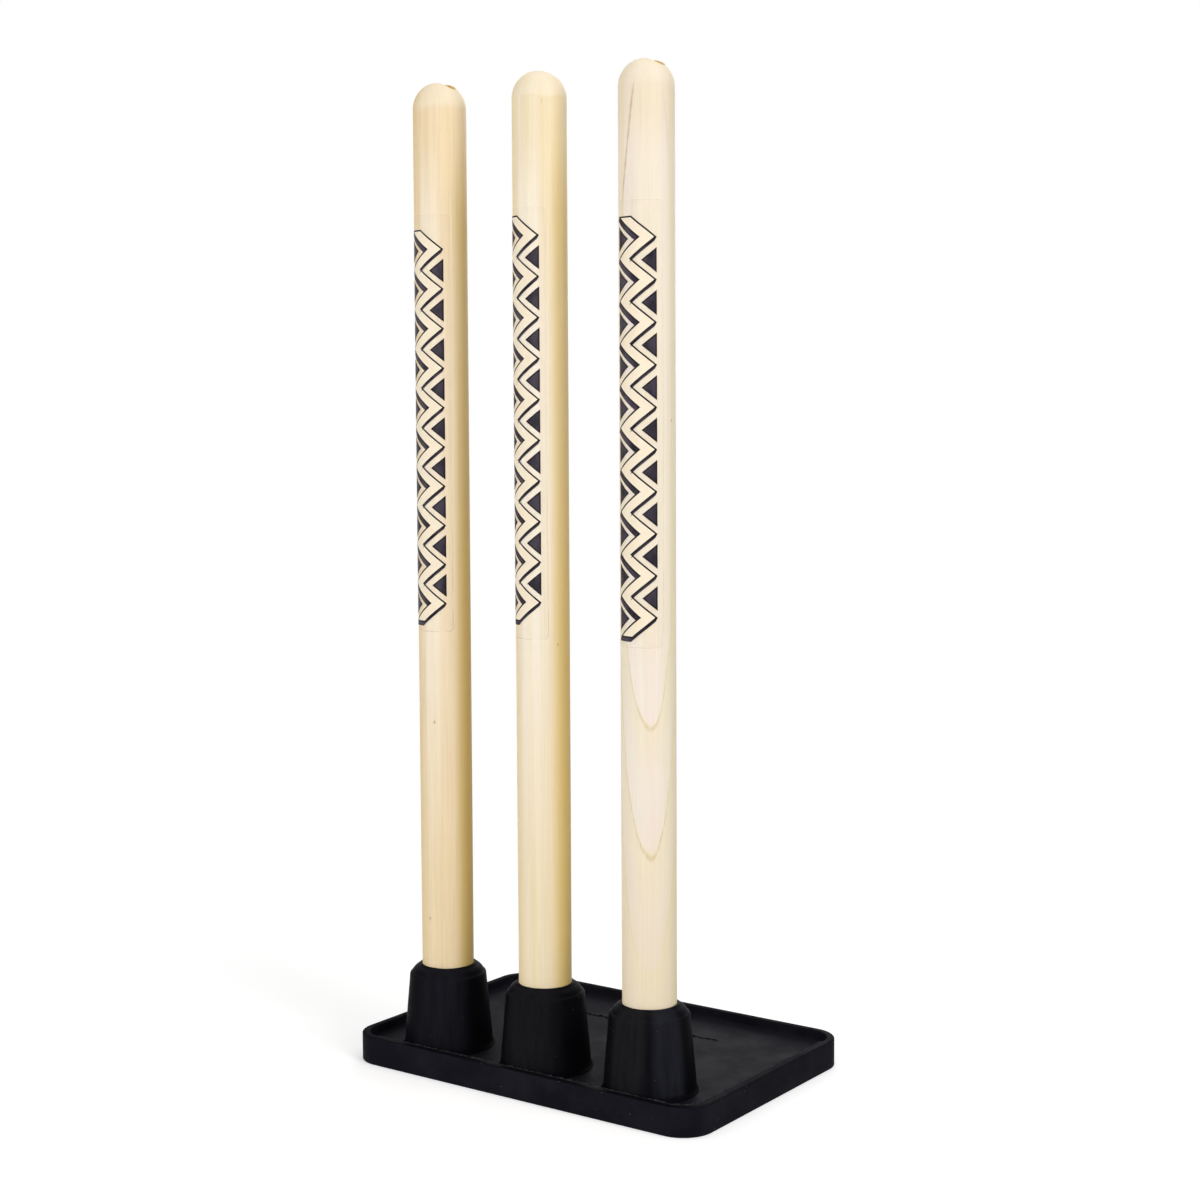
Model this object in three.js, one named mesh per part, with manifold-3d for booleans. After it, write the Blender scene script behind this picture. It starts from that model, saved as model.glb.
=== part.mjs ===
// Cricket wicket for hard ground: three wooden stumps pushed into the cups of a heavy rubber base.
// Millimetres, +Z up. X runs along the row of stumps, and the labelled side faces -Y.
// The origin is the middle of the base's underside.
import * as THREE from 'three';
import { mergeVertices } from 'three/addons/utils/BufferGeometryUtils.js';
import Module from 'manifold-3d';

const wasm = await Module();
wasm.setup();

// Base tray: a rubber slab with a raised rim
const trayWidth = 302;
const trayDepth = 205;
const trayHeight = 20.5;
const trayCornerRadius = 23;
const trayEdgeBevel = 1;
const rimWidth = 5.5;
const rimHeight = 7;
const seatThickness = 8;

// Row of stumps
const stumpSpacing = 89.5;
const rowToFrontEdge = 40.5;

// Stump: slightly tapered, domed on top, with a half-round groove for the bails
const stumpTopHeight = 711.2;
const stumpTopDiameter = 38.1;
const stumpFootDiameter = 37.5;
const footChamfer = 1;
const grooveRadius = 6;
const grooveDepth = 6;

// Cup: a tapered rubber collar bonded to the tray's floor
const cupHeight = 60.5;
const cupShoulderDiameter = 56;
const cupWallFootDiameter = 65;
const cupBevelHeight = 7.2;
const cupShoulderRadius = 2.5;
const cupLipWidth = 1.6;
const cupFlareWidth = 1.3;
const cupFlareHeight = 3.5;
const cupFlareEdgeHeight = 1;
const cupFlareMiddleShare = 0.35;
const cupClearance = 0.3;

// Label: a clear printed film round the front of each stump
const labelWidth = 40;
const labelHeight = 297;
const labelBottomHeight = 319.5;
const labelCornerRadius = 3;
const labelThickness = 0.15;
const labelGap = 0.05;

// Length by which a cutting solid runs past what it cuts
const overrun = 5;

// Steps round a circle, a corner, a dome and a small arc
const roundSteps = 48;
const cornerSteps = 8;
const domeSteps = 8;
const arcSteps = 4;

// The three places, with the turn of each bail groove and label about its stump in degrees
const places = [
  { name: 'left', step: -1, grooveTurn: 0, labelTurn: -1, colour: 0xe6cfa8 },
  { name: 'middle', step: 0, grooveTurn: 25, labelTurn: -11, colour: 0xecdcb2 },
  { name: 'right', step: 1, grooveTurn: 0, labelTurn: 8, colour: 0xeee0c4 },
];

// Places worked out from the sizes above
const frontEdgeY = -trayDepth / 2;
const rowY = frontEdgeY + rowToFrontEdge;
const floorHeight = trayHeight - rimHeight;
const lipHeight = floorHeight + cupHeight;
const stumpTopRadius = stumpTopDiameter / 2;
const stumpFootRadius = stumpFootDiameter / 2;
const domeBaseHeight = stumpTopHeight - stumpTopRadius;
const socketRadius = stumpRadiusAt(lipHeight) + cupClearance;

function stumpRadiusAt(height) {
  const share = (height - seatThickness) / (domeBaseHeight - seatThickness);
  return THREE.MathUtils.lerp(stumpFootRadius, stumpTopRadius, share);
}

// Solids: a closed three.js geometry becomes one that can be joined or cut, and comes back
function toSolid(geometry) {
  const plain = geometry.clone();
  plain.deleteAttribute('normal');
  plain.deleteAttribute('uv');
  const merged = mergeVertices(plain);
  const vertProperties = new Float32Array(merged.attributes.position.array);
  const triVerts = new Uint32Array(merged.index.array);
  return new wasm.Manifold(new wasm.Mesh({ numProp: 3, vertProperties, triVerts }));
}

function toGeometry(solid) {
  const mesh = solid.getMesh();
  const geometry = new THREE.BufferGeometry();
  geometry.setAttribute('position', new THREE.BufferAttribute(mesh.vertProperties, 3));
  geometry.setIndex(new THREE.BufferAttribute(mesh.triVerts, 1));
  geometry.computeVertexNormals();
  return geometry;
}

// A lathe turns about Y, so its result is tipped up to turn about Z
function turned(points) {
  return new THREE.LatheGeometry(points, roundSteps).rotateX(Math.PI / 2);
}

function arcPoints(centreRadius, centreHeight, radius, fromAngle, toAngle, steps) {
  const points = [];
  for (let i = 0; i <= steps; i += 1) {
    const angle = THREE.MathUtils.lerp(fromAngle, toAngle, i / steps);
    const across = centreRadius + radius * Math.cos(angle);
    points.push(new THREE.Vector2(across, centreHeight + radius * Math.sin(angle)));
  }
  return points;
}

function roundedRectangle(width, height, radius) {
  const right = width / 2;
  const top = height / 2;
  const shape = new THREE.Shape();
  shape.absarc(right - radius, top - radius, radius, 0, Math.PI / 2, false);
  shape.absarc(radius - right, top - radius, radius, Math.PI / 2, Math.PI, false);
  shape.absarc(radius - right, radius - top, radius, Math.PI, 1.5 * Math.PI, false);
  shape.absarc(right - radius, radius - top, radius, 1.5 * Math.PI, 2 * Math.PI, false);
  return shape;
}

// Tray: the slab, less the pocket inside its rim and a round seat under each stump
function trayGeometry() {
  const slab = new THREE.ExtrudeGeometry(roundedRectangle(trayWidth, trayDepth, trayCornerRadius), {
    depth: trayHeight - 2 * trayEdgeBevel,
    bevelEnabled: true,
    bevelThickness: trayEdgeBevel,
    bevelSize: trayEdgeBevel,
    bevelOffset: -trayEdgeBevel,
    bevelSegments: 2,
    curveSegments: cornerSteps,
  }).translate(0, 0, trayEdgeBevel);
  const pocketShape = roundedRectangle(
    trayWidth - 2 * rimWidth,
    trayDepth - 2 * rimWidth,
    trayCornerRadius - rimWidth,
  );
  const pocket = new THREE.ExtrudeGeometry(pocketShape, {
    depth: rimHeight + overrun,
    bevelEnabled: false,
    curveSegments: cornerSteps,
  }).translate(0, 0, floorHeight);
  const seatDepth = floorHeight - seatThickness;
  const seatHole = new THREE.CylinderGeometry(
    socketRadius,
    socketRadius,
    seatDepth + overrun,
    roundSteps,
  ).rotateX(Math.PI / 2);
  seatHole.translate(0, rowY, seatThickness + (seatDepth + overrun) / 2);
  let solid = toSolid(slab).subtract(toSolid(pocket));
  for (const place of places) {
    const hole = seatHole.clone().translate(place.step * stumpSpacing, 0, 0);
    solid = solid.subtract(toSolid(hole));
  }
  return toGeometry(solid);
}

// Cup: the section runs from the socket out along the flared foot, up the wall, over the
// rounded shoulder and the bevel to the lip, and back down the socket
function cupGeometry() {
  const wallFootRadius = cupWallFootDiameter / 2;
  const shoulderRadius = cupShoulderDiameter / 2;
  const shoulderHeight = lipHeight - cupBevelHeight;
  const flareTop = floorHeight + cupFlareHeight;
  const lipRadius = socketRadius + cupLipWidth;
  const wallShare = cupFlareHeight / (shoulderHeight - floorHeight);
  const flareTopRadius = THREE.MathUtils.lerp(wallFootRadius, shoulderRadius, wallShare);
  const bevelAngle = Math.atan2(shoulderRadius - lipRadius, cupBevelHeight);
  const points = [
    new THREE.Vector2(socketRadius, floorHeight),
    new THREE.Vector2(wallFootRadius + cupFlareWidth, floorHeight),
    new THREE.Vector2(wallFootRadius + cupFlareWidth, floorHeight + cupFlareEdgeHeight),
    new THREE.Vector2(
      wallFootRadius + cupFlareWidth * cupFlareMiddleShare,
      floorHeight + THREE.MathUtils.lerp(cupFlareEdgeHeight, cupFlareHeight, cupFlareMiddleShare),
    ),
    new THREE.Vector2(flareTopRadius, flareTop),
    ...arcPoints(
      shoulderRadius - cupShoulderRadius,
      shoulderHeight - cupShoulderRadius / 2,
      cupShoulderRadius,
      0,
      Math.PI / 2 - bevelAngle / 2,
      arcSteps,
    ),
    new THREE.Vector2(lipRadius, lipHeight - cupLipWidth / 2),
    new THREE.Vector2(lipRadius - cupLipWidth / 2, lipHeight),
    new THREE.Vector2(socketRadius, lipHeight),
    new THREE.Vector2(socketRadius, floorHeight),
  ];
  return toGeometry(toSolid(turned(points)));
}

// Stump: a turned stick with a hemisphere on top, less the bail groove
function stumpGeometry(grooveTurn) {
  const points = [
    new THREE.Vector2(0, seatThickness),
    new THREE.Vector2(stumpFootRadius - footChamfer, seatThickness),
    new THREE.Vector2(stumpRadiusAt(seatThickness + footChamfer), seatThickness + footChamfer),
    ...arcPoints(0, domeBaseHeight, stumpTopRadius, 0, Math.PI / 2, domeSteps).slice(0, -1),
    new THREE.Vector2(0, stumpTopHeight),
  ];
  const grooveShape = new THREE.Shape();
  const openTop = grooveDepth + overrun;
  grooveShape.moveTo(grooveRadius, openTop);
  grooveShape.lineTo(-grooveRadius, openTop);
  grooveShape.absarc(0, grooveRadius, grooveRadius, Math.PI, 2 * Math.PI, false);
  const groove = new THREE.ExtrudeGeometry(grooveShape, {
    depth: stumpTopDiameter + 2 * overrun,
    bevelEnabled: false,
    curveSegments: roundSteps / 2,
  });
  groove.translate(0, 0, -stumpTopRadius - overrun);
  groove.rotateX(Math.PI / 2);
  groove.rotateZ(Math.PI / 2 + THREE.MathUtils.degToRad(grooveTurn));
  groove.translate(0, 0, stumpTopHeight - grooveDepth);
  return toGeometry(toSolid(turned(points)).subtract(toSolid(groove)));
}

// Label: a thin sleeve that follows the stump's taper, trimmed to a rounded rectangle
function labelGeometry(labelTurn) {
  const topHeight = labelBottomHeight + labelHeight;
  const innerFoot = stumpRadiusAt(labelBottomHeight) + labelGap;
  const innerTop = stumpRadiusAt(topHeight) + labelGap;
  const sleeve = turned([
    new THREE.Vector2(innerFoot, labelBottomHeight),
    new THREE.Vector2(innerFoot + labelThickness, labelBottomHeight),
    new THREE.Vector2(innerTop + labelThickness, topHeight),
    new THREE.Vector2(innerTop, topHeight),
    new THREE.Vector2(innerFoot, labelBottomHeight),
  ]);
  const halfAngle = labelWidth / 2 / innerTop;
  const outline = roundedRectangle(2 * innerTop * Math.sin(halfAngle), labelHeight, labelCornerRadius);
  const trim = new THREE.ExtrudeGeometry(outline, {
    depth: stumpTopRadius + overrun,
    bevelEnabled: false,
    curveSegments: arcSteps,
  });
  trim.rotateX(Math.PI / 2);
  trim.rotateZ(THREE.MathUtils.degToRad(labelTurn));
  trim.translate(0, 0, labelBottomHeight + labelHeight / 2);
  return toGeometry(toSolid(sleeve).intersect(toSolid(trim)));
}

// Materials
function rubber(colour, roughness) {
  return new THREE.MeshStandardMaterial({ color: colour, roughness, metalness: 0 });
}

function wood(colour) {
  return new THREE.MeshStandardMaterial({ color: colour, roughness: 0.55, metalness: 0 });
}

function film() {
  return new THREE.MeshStandardMaterial({
    color: 0xf1ead6,
    roughness: 0.25,
    metalness: 0,
    transparent: true,
    opacity: 0.35,
  });
}

function named(name, geometry, material) {
  const mesh = new THREE.Mesh(geometry, material);
  mesh.name = name;
  return mesh;
}

// Assembly: each place holds a cup, its stump and the stump's label
const wicket = new THREE.Group();
wicket.add(named('base_tray', trayGeometry(), rubber(0x2f2d31, 0.75)));
for (const place of places) {
  const spot = new THREE.Group();
  spot.position.set(place.step * stumpSpacing, rowY, 0);
  spot.add(named(`${place.name}_cup`, cupGeometry(), rubber(0x252428, 0.6)));
  spot.add(named(`${place.name}_stump`, stumpGeometry(place.grooveTurn), wood(place.colour)));
  spot.add(named(`${place.name}_label`, labelGeometry(place.labelTurn), film()));
  wicket.add(spot);
}

export default wicket;
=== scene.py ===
import math
import random

import bmesh
import bpy
from mathutils import Matrix, Vector


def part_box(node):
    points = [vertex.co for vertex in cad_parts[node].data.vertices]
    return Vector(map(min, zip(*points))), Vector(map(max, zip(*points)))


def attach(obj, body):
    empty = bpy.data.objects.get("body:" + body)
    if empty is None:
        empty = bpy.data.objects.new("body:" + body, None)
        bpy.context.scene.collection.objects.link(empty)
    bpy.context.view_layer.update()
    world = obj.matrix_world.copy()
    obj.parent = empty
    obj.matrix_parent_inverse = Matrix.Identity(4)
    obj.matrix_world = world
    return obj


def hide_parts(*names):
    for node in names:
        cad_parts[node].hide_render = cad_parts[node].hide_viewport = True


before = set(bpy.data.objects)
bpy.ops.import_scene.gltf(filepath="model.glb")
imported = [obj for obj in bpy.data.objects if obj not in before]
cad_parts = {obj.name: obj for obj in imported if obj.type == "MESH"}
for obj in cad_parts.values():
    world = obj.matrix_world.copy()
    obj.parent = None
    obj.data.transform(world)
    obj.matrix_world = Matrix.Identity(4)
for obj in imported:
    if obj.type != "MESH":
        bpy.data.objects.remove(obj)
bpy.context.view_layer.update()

mm = 0.001
sides = ("left", "middle", "right")

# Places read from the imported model
trayLow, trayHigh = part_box("base_tray")
cupLow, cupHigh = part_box("middle_cup")
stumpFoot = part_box("middle_stump")[0].z
stumpAxis = {}
for side in sides:
    low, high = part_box(side + "_cup")
    stumpAxis[side] = Vector(((low.x + high.x) / 2, (low.y + high.y) / 2, 0))


# Working by hand: selecting, editing and applying
def onlyThis(piece):
    bpy.ops.object.select_all(action="DESELECT")
    piece.select_set(True)
    bpy.context.view_layer.objects.active = piece


def startEdit(piece):
    onlyThis(piece)
    bpy.ops.object.mode_set(mode="EDIT")
    bpy.ops.mesh.select_mode(type="VERT")


def endEdit():
    bpy.ops.object.mode_set(mode="OBJECT")


def pickAll():
    bpy.ops.mesh.select_all(action="SELECT")


def extrude(step):
    bpy.ops.mesh.extrude_region_move(TRANSFORM_OT_translate={"value": step})


def pick(kind, test):
    bpy.ops.mesh.select_mode(type=kind)
    bpy.ops.mesh.select_all(action="DESELECT")
    mesh = bpy.context.edit_object.data
    shape = bmesh.from_edit_mesh(mesh)
    parts = {"VERT": shape.verts, "EDGE": shape.edges, "FACE": shape.faces}[kind]
    for part in parts:
        part.select_set(bool(test(part)))
    shape.select_flush_mode()
    bmesh.update_edit_mesh(mesh)


def applied(piece, kind, **settings):
    onlyThis(piece)
    modifier = piece.modifiers.new(kind.title(), kind)
    for key, value in settings.items():
        setattr(modifier, key, value)
    bpy.ops.object.modifier_apply(modifier=modifier.name)


def freeze(piece, name):
    onlyThis(piece)
    bpy.ops.object.transform_apply(location=True, rotation=True, scale=True)
    piece.name = name
    piece.data.name = name
    return piece


def smoothed(piece, degrees):
    onlyThis(piece)
    bpy.ops.object.shade_smooth_by_angle(angle=math.radians(degrees))


def removePiece(piece):
    bpy.data.objects.remove(piece, do_unlink=True)


def drilled(piece, radius, depth, centre, rotation=(0, 0, 0)):
    bpy.ops.mesh.primitive_cylinder_add(
        vertices=64, radius=radius, depth=depth, location=centre, rotation=rotation,
    )
    cutter = bpy.context.object
    applied(piece, "BOOLEAN", operation="DIFFERENCE", solver="EXACT", object=cutter)
    removePiece(cutter)


# A copy with its own mesh, carried from the world's middle to a stump's axis and turned about it
def placedCopy(pattern, name, side, degrees=0.0, lift=0.0):
    onlyThis(pattern)
    bpy.ops.object.duplicate(linked=False)
    piece = bpy.context.object
    piece.location = stumpAxis[side] + Vector((0, 0, lift))
    piece.rotation_euler = (0, 0, math.radians(degrees))
    return freeze(piece, name)


def arc(centre, radius, fromDegrees, toDegrees, steps):
    points = []
    for i in range(steps + 1):
        angle = math.radians(fromDegrees + (toDegrees - fromDegrees) * i / steps)
        across = centre[0] + radius * math.cos(angle)
        points.append((across, centre[1] + radius * math.sin(angle)))
    return points


# An outline is drawn by extruding one point from place to place, and is then spun about Z
def spun(name, outline, steps):
    bpy.ops.mesh.primitive_plane_add(size=mm, location=(outline[0][0], 0, outline[0][1]))
    piece = bpy.context.object
    startEdit(piece)
    pickAll()
    bpy.ops.mesh.merge(type="CENTER")
    for here, there in zip(outline, outline[1:]):
        step = (there[0] - here[0], 0, there[1] - here[1])
        extrude(step)
    pickAll()
    bpy.ops.mesh.spin(steps=steps, angle=math.tau, center=(0, 0, 0), axis=(0, 0, 1))
    pickAll()
    bpy.ops.mesh.remove_doubles(threshold=0.002 * mm)
    bpy.ops.mesh.normals_make_consistent(inside=False)
    endEdit()
    return freeze(piece, name)


# A level direction, turned from the front to the right
def towards(degrees):
    angle = math.radians(degrees)
    return Vector((math.sin(angle), -math.cos(angle), 0))


# Material nodes
def fill(tree, node, inputs):
    for socket, value in inputs.items():
        if isinstance(value, bpy.types.NodeSocket):
            tree.links.new(value, node.inputs[socket])
        else:
            node.inputs[socket].default_value = value


def addNode(tree, kind, inputs, **settings):
    made = tree.nodes.new(kind)
    for key, value in settings.items():
        setattr(made, key, value)
    fill(tree, made, inputs)
    return made


def calc(tree, operation, *values, clamp=False):
    inputs = dict(enumerate(values))
    return addNode(tree, "ShaderNodeMath", inputs, operation=operation, use_clamp=clamp).outputs[0]


def times(tree, first, second):
    return calc(tree, "MULTIPLY", first, second)


def heightOf(tree, vector):
    return addNode(tree, "ShaderNodeSeparateXYZ", {0: vector}).outputs["Z"]


def vectorCalc(tree, operation, *values):
    made = addNode(tree, "ShaderNodeVectorMath", dict(enumerate(values)), operation=operation)
    scalar = operation in ("DOT_PRODUCT", "LENGTH", "DISTANCE")
    return made.outputs["Value" if scalar else "Vector"]


def blended(tree, share, first, second):
    inputs = {0: share, 6: first, 7: second}
    return addNode(tree, "ShaderNodeMix", inputs, data_type="RGBA").outputs[2]


def ramped(tree, value, low, high, outLow=0.0, outHigh=1.0, smooth=True):
    kind = "SMOOTHSTEP" if smooth else "LINEAR"
    inputs = {0: value, 1: low, 2: high, 3: outLow, 4: outHigh}
    return addNode(tree, "ShaderNodeMapRange", inputs, interpolation_type=kind).outputs[0]


# Noise: a scale for each axis stretches it
def noise(tree, vector, scale, detail=2.0, roughness=0.5, output="Fac", shift=(0, 0, 0)):
    if isinstance(scale, tuple):
        vector = addNode(tree, "ShaderNodeMapping", {0: vector, 1: shift, 3: scale}).outputs[0]
        scale = 1.0
    inputs = {"Vector": vector, "Scale": scale, "Detail": detail, "Roughness": roughness}
    return addNode(tree, "ShaderNodeTexNoise", inputs).outputs[output]


# A node group takes a place as Vector; its other inputs and its outputs are listed by kind
def startGroup(name, inputs, outputs):
    group = bpy.data.node_groups.new(name, "ShaderNodeTree")
    group.interface.new_socket("Vector", in_out="INPUT", socket_type="NodeSocketVector")
    for way, kinds in (("INPUT", inputs), ("OUTPUT", outputs)):
        for kind, labels in kinds.items():
            for title in labels.split():
                group.interface.new_socket(title, in_out=way, socket_type="NodeSocket" + kind)
    source = group.nodes.new("NodeGroupInput").outputs
    target = group.nodes.new("NodeGroupOutput").inputs
    return group, source, source["Vector"], target


def useGroup(tree, group, place, inputs):
    return addNode(tree, "ShaderNodeGroup", {"Vector": place, **inputs}, node_tree=group).outputs


# Settings of a look, under the names of a group's inputs
def inputsFrom(look, names):
    return {name[0].upper() + name[1:]: look[name] for name in names.split()}


def startMaterial(name):
    material = bpy.data.materials.new(name)
    material.use_nodes = True
    tree = material.node_tree
    tree.nodes.clear()
    out = tree.nodes.new("ShaderNodeOutputMaterial")
    shader = tree.nodes.new("ShaderNodeBsdfPrincipled")
    tree.links.new(shader.outputs[0], out.inputs["Surface"])
    place = tree.nodes.new("ShaderNodeTexCoord").outputs["Object"]
    return material, tree, shader, place


def bumped(tree, height, distance):
    return addNode(tree, "ShaderNodeBump", {"Height": height, "Distance": distance}).outputs[0]


# Wood: growth rings round a pith that stands outside the stump, fine fibres, pores and soft bands
def makeWoodGroup():
    group, given, place, out = startGroup("woodGrain", {
        "Vector": "Axis Pith Lean",
        "Float": "LeanTop RingSpacing RingDepth RingFrom RingPeak RingShade FootAmount FootTop HeadFrom",
        "Color": "Light Blush Gold Dark Foot",
    }, {"Color": "Color", "Float": "Roughness Height"})
    local = vectorCalc(group, "SUBTRACT", place, given["Axis"])
    height = heightOf(group, local)
    # A darker foot tint towards the bottom, and the same tint under the dome, where it is painted shade
    # holding down the stronger light on the tops
    lowEnd = ramped(group, height, 0.08, given["FootTop"], 1.0, 0.0)
    footShare = calc(group, "ADD", lowEnd, ramped(group, height, given["HeadFrom"], 0.68, 0.0, 0.85))
    footShare = times(group, footShare, given["FootAmount"])
    leanShare = ramped(group, height, 0.0, given["LeanTop"], smooth=False)
    lean = addNode(group, "ShaderNodeVectorMath", {0: given["Lean"], "Scale": leanShare}, operation="SCALE")
    pith = vectorCalc(group, "ADD", given["Pith"], lean.outputs[0])
    wobble = noise(group, place, (28, 28, 5), 2.0, 0.5, "Color")
    wobble = vectorCalc(group, "SUBTRACT", wobble, (0.5, 0.5, 0.5))
    wobble = vectorCalc(group, "MULTIPLY", wobble, (0.005, 0.005, 0))
    fromPith = vectorCalc(group, "ADD", vectorCalc(group, "SUBTRACT", local, pith), wobble)
    fromPith = vectorCalc(group, "MULTIPLY", fromPith, (1, 1, 0))
    rings = calc(group, "DIVIDE", vectorCalc(group, "LENGTH", fromPith), given["RingSpacing"])
    ring = calc(group, "FRACT", rings)
    peak = given["RingPeak"]
    late = ramped(group, ring, given["RingFrom"], peak)
    late = times(group, late, ramped(group, ring, peak, 1.0, 1.0, 0.0))
    overLean = calc(group, "SUBTRACT", height, given["LeanTop"])
    late = times(group, late, ramped(group, overLean, 0.0, 0.06, 1.0, 0.3))
    late = times(group, late, ramped(group, height, 0.105, 0.145))
    chance = addNode(group, "ShaderNodeTexWhiteNoise", {"W": calc(group, "FLOOR", rings)},
                     noise_dimensions="1D").outputs["Value"]
    late = times(group, late, ramped(group, chance, 0.0, 1.0, 0.35, 1.0, smooth=False))
    ragged = noise(group, place, (900, 900, 90), 2.0)
    late = times(group, late, ramped(group, ragged, 0.3, 0.6, 0.3, 1.0))
    late = times(group, late, given["RingDepth"])
    fibres = noise(group, place, (1500, 1500, 14), 3.0, 0.6)
    bands = noise(group, place, (150, 150, 1.6), 2.0)
    goldBands = noise(group, place, (110, 110, 1.1), 1.0, shift=(7, 3, 5))
    pores = noise(group, place, (2600, 2600, 110), 1.0)
    poreMask = ramped(group, pores, 0.66, 0.78)
    colour = blended(group, ramped(group, bands, 0.35, 0.65), given["Light"], given["Blush"])
    colour = blended(group, footShare, colour, given["Foot"])
    colour = blended(group, ramped(group, goldBands, 0.48, 0.75, 0.0, 0.22), colour, given["Gold"])
    shade = times(group, ramped(group, ring, 0.25, 0.95), given["RingShade"])
    colour = blended(group, shade, colour, given["Gold"])
    colour = blended(group, ramped(group, fibres, 0.35, 0.75, 0.0, 0.16), colour, given["Dark"])
    colour = blended(group, late, colour, given["Dark"])
    colour = blended(group, times(group, poreMask, 0.22), colour, given["Dark"])
    group.links.new(colour, out["Color"])
    group.links.new(ramped(group, fibres, 0.2, 0.8, 0.46, 0.60), out["Roughness"])
    relief = calc(group, "SUBTRACT", times(group, fibres, 0.6), poreMask)
    group.links.new(relief, out["Height"])
    return group


# The side of a stump that faces one direction, with soft edges
def makeSideGroup():
    inputs = {"Vector": "Axis Facing", "Float": "Inner Outer"}
    group, given, place, out = startGroup("sideBand", inputs, {"Float": "Mask"})
    local = vectorCalc(group, "SUBTRACT", place, given["Axis"])
    flat = vectorCalc(group, "NORMALIZE", vectorCalc(group, "MULTIPLY", local, (1, 1, 0)))
    facing = vectorCalc(group, "DOT_PRODUCT", flat, given["Facing"])
    group.links.new(ramped(group, facing, given["Outer"], given["Inner"]), out["Mask"])
    return group


# Full within the inner angle from that direction, and gone at the outer one
def sideMask(tree, place, side, degrees, inner, outer):
    return useGroup(tree, sideBand, place, {
        "Axis": stumpAxis[side], "Facing": towards(degrees),
        "Inner": math.cos(math.radians(inner)), "Outer": math.cos(math.radians(outer)),
    })["Mask"]


# A stump's radius, near enough to give a line its width
lineRadius = 19 * mm


# A fine line that runs slantwise round a stump from one angle and height to another
def makeLineGroup():
    inputs = {"Vector": "Axis", "Float": "TopAngle TopHeight FootAngle FootHeight Width"}
    group, given, place, out = startGroup("grainLine", inputs, {"Float": "Mask"})
    local = vectorCalc(group, "SUBTRACT", place, given["Axis"])
    parts = addNode(group, "ShaderNodeSeparateXYZ", {0: local}).outputs
    angle = calc(group, "ARCTAN2", parts["X"], times(group, parts["Y"], -1.0))
    share = addNode(group, "ShaderNodeMapRange", {
        0: parts["Z"], 1: given["FootHeight"], 2: given["TopHeight"],
    }, clamp=False).outputs[0]
    wanted = addNode(group, "ShaderNodeMix", {
        0: share, 2: given["FootAngle"], 3: given["TopAngle"],
    }, data_type="FLOAT").outputs[0]
    wave = noise(group, place, (0, 0, 30), 1.0)
    wanted = calc(group, "ADD", wanted, ramped(group, wave, 0.0, 1.0, -0.04, 0.04, smooth=False))
    gap = times(group, calc(group, "ABSOLUTE", calc(group, "SUBTRACT", angle, wanted)), lineRadius)
    swell = noise(group, place, (0, 0, 160), shift=(3, 1, 2))
    thickness = times(group, given["Width"], ramped(group, swell, 0.3, 0.7, 0.5, 1.2))
    line = ramped(group, calc(group, "DIVIDE", gap, thickness), 0.0, 1.0, 1.0, 0.0)
    ends = times(group, ramped(group, share, 0.0, 0.25), ramped(group, share, 0.85, 1.0, 1.0, 0.0))
    group.links.new(times(group, line, ends), out["Mask"])
    return group


# A small knot: a dark dot with a soft halo, longer up the stump than across it
def makeKnotGroup():
    inputs = {"Vector": "Centre", "Float": "Radius Length"}
    group, given, place, out = startGroup("knot", inputs, {"Float": "Dot Halo"})
    away = vectorCalc(group, "SUBTRACT", place, given["Centre"])
    parts = addNode(group, "ShaderNodeSeparateXYZ", {0: away}).outputs
    squeezed = addNode(group, "ShaderNodeCombineXYZ", {
        0: parts["X"], 1: parts["Y"], 2: calc(group, "DIVIDE", parts["Z"], given["Length"]),
    }).outputs[0]
    jitter = noise(group, place, 1800.0, 2.0)
    distance = calc(group, "DIVIDE", vectorCalc(group, "LENGTH", squeezed), given["Radius"])
    distance = calc(group, "ADD", distance, ramped(group, jitter, 0.0, 1.0, -0.35, 0.35, smooth=False))
    group.links.new(ramped(group, distance, 0.4, 1.0, 1.0, 0.0), out["Dot"])
    group.links.new(ramped(group, distance, 0.6, 3.0, 1.0, 0.0), out["Halo"])
    return group


rimPaintedShade = (0.0012, 0.0011, 0.0016, 1)
dustSpeck = (0.24, 0.23, 0.24, 1)
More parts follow.
